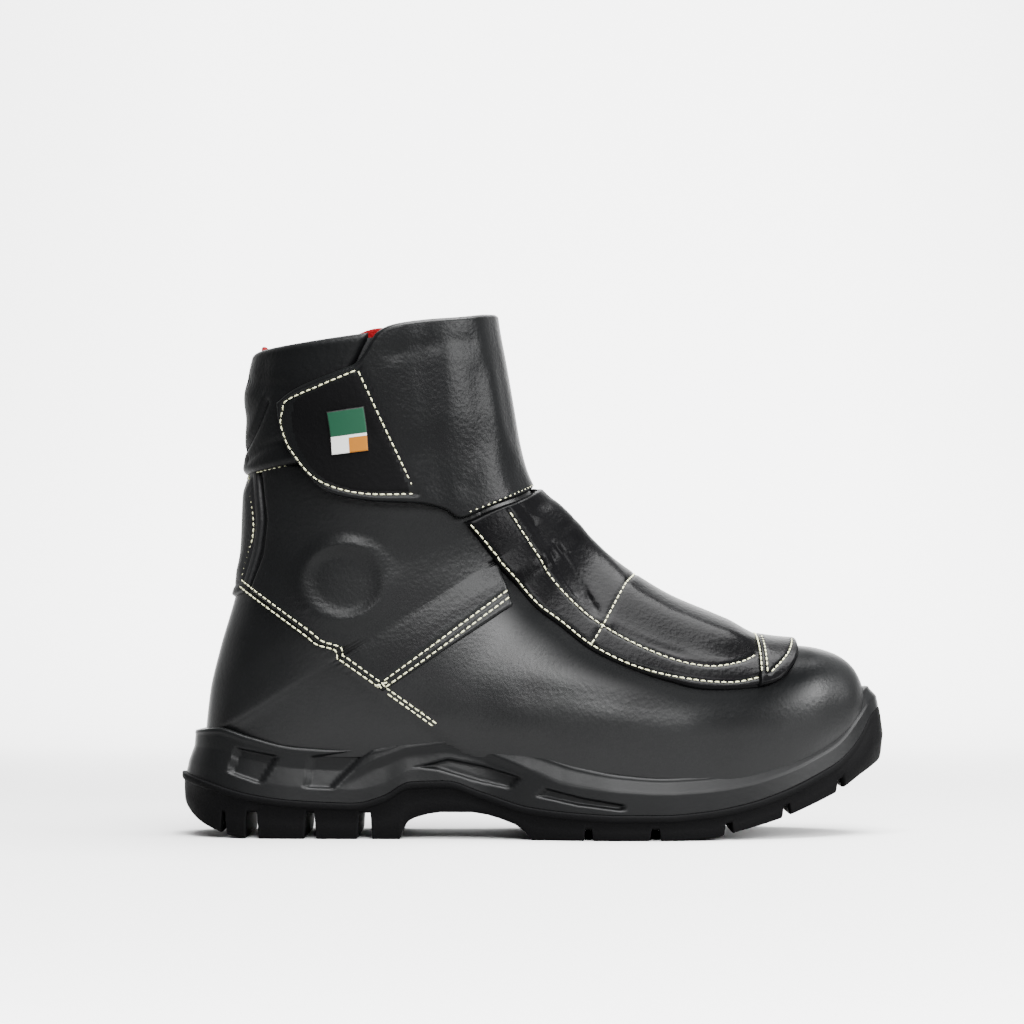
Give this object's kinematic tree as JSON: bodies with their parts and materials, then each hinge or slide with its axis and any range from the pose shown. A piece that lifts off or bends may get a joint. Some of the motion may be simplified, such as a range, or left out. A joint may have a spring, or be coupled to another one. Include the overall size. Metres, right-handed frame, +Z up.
{
  "type": "metatarsal guard boot",
  "caption": "Black leather work boot with a padded metatarsal guard, wrapped cuff with side closing flap, padded collar and lugged rubber sole.",
  "frame": {"origin": "on the floor plane, under the middle of the boot box", "axes": "+X to the toe, +Y to the wearer's left (inner side), +Z up"},
  "size_m": [0.304, 0.1055, 0.2252],
  "materials": {
    "leather": "satin",
    "padded_leather": "satin",
    "midsole_rubber": "satin",
    "outsole_rubber": "matte",
    "footbed": "matte",
    "label_print": "matte"
  },
  "bodies": {
    "root": {"outsole": "outsole_rubber", "midsole": "midsole_rubber", "insole": "footbed", "upper": "leather", "collar": "padded_leather", "quarter_outer": "leather", "quarter_inner": "leather", "back_strip": "leather", "cuff": "leather", "metatarsal_guard": "leather", "guard_toe_tab": "leather", "safety_label": "label_print"}
  },
  "joints": []
}
